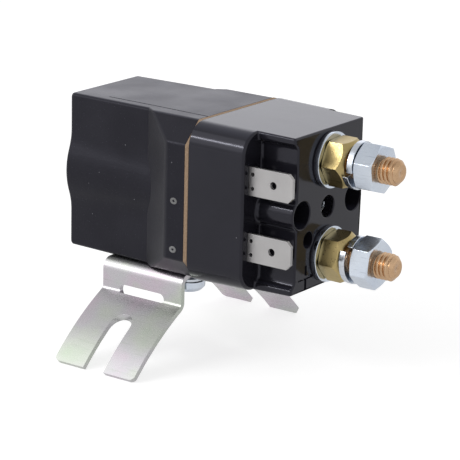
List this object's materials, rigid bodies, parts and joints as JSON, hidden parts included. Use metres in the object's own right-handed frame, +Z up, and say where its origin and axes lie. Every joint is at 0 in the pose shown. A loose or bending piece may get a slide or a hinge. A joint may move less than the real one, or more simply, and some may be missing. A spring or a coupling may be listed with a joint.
{
  "type": "starter solenoid",
  "caption": "Starter solenoid: moulded coil housing and contact cover with threaded terminal studs, blade terminals and a bent strap bracket with forked feet.",
  "frame": {"origin": "centre of the whole object's box, on the ground under the prong tips", "axes": "+X along the body to the free ends of the terminal studs, -Y the side with the blade terminals, +Z up"},
  "size_m": [0.0812, 0.065, 0.0567],
  "materials": {
    "housing_plastic": "matt black moulded plastic",
    "cover_plastic": "glossy black moulded plastic",
    "gasket_fibre": "tan pressed fibre",
    "zinc_plate": "bright zinc plate",
    "spring_steel": "plated spring steel",
    "brass": "bright brass",
    "stud_copper": "plain copper alloy",
    "contact_silver": "silver contact facing",
    "blade_tin": "tinned",
    "magnet_iron": "soft iron, thin zinc",
    "bobbin_plastic": "natural moulded plastic",
    "winding_copper": "enamelled copper wire",
    "lead_sleeve": "insulating sleeve",
    "buffer_rubber": "rubber"
  },
  "bodies": {
    "contactor": {"coil_housing": "housing_plastic", "contact_cover": "cover_plastic", "cover_gasket": "gasket_fibre", "mounting_bracket": "zinc_plate", "outer_nut_upper": "zinc_plate", "outer_nut_lower": "zinc_plate", "flat_washer_upper": "zinc_plate", "flat_washer_lower": "zinc_plate", "bracket_screw_near": "zinc_plate", "bracket_screw_far": "zinc_plate", "cover_screw_near": "zinc_plate", "cover_screw_far": "zinc_plate", "lock_washer_upper": "spring_steel", "lock_washer_lower": "spring_steel", "bracket_lock_washer_near": "spring_steel", "bracket_lock_washer_far": "spring_steel", "contact_spring": "spring_steel", "return_spring": "spring_steel", "brass_nut_upper": "brass", "brass_nut_lower": "brass", "guide_tube": "brass", "terminal_stud_upper": "stud_copper", "terminal_stud_lower": "stud_copper", "fixed_tip_upper": "contact_silver", "fixed_tip_lower": "contact_silver", "blade_terminal_upper": "blade_tin", "blade_terminal_lower": "blade_tin", "yoke_frame": "magnet_iron", "pole_plate": "magnet_iron", "fixed_core": "magnet_iron", "coil_bobbin": "bobbin_plastic", "coil_winding": "winding_copper", "coil_lead_upper": "lead_sleeve", "coil_lead_lower": "lead_sleeve", "rear_buffer": "buffer_rubber"},
    "plunger": {"plunger": "magnet_iron", "push_rod": "brass", "spring_plate": "magnet_iron", "rod_clip": "spring_steel", "return_spring_seat": "magnet_iron"},
    "bridge": {"bridge_bush": "bobbin_plastic", "bridge_washer": "brass", "contact_bridge": "stud_copper", "bridge_tip_upper": "contact_silver", "bridge_tip_lower": "contact_silver"}
  },
  "joints": [
    {"name": "plunger_slide", "type": "slide", "parent": "contactor", "child": "plunger", "axis": [1, 0, 0], "range_m": [0, 0.0032], "stiffness_N_per_m": 1200, "springref_m": -0.002, "deforming": ["return_spring", "contact_spring"]},
    {"name": "bridge_slide", "type": "slide", "parent": "contactor", "child": "bridge", "axis": [1, 0, 0], "range_m": [0, 0.0024]}
  ],
  "couplings": [
    {"joint": "bridge_slide", "follows": "plunger_slide", "ratio": 0.75}
  ]
}
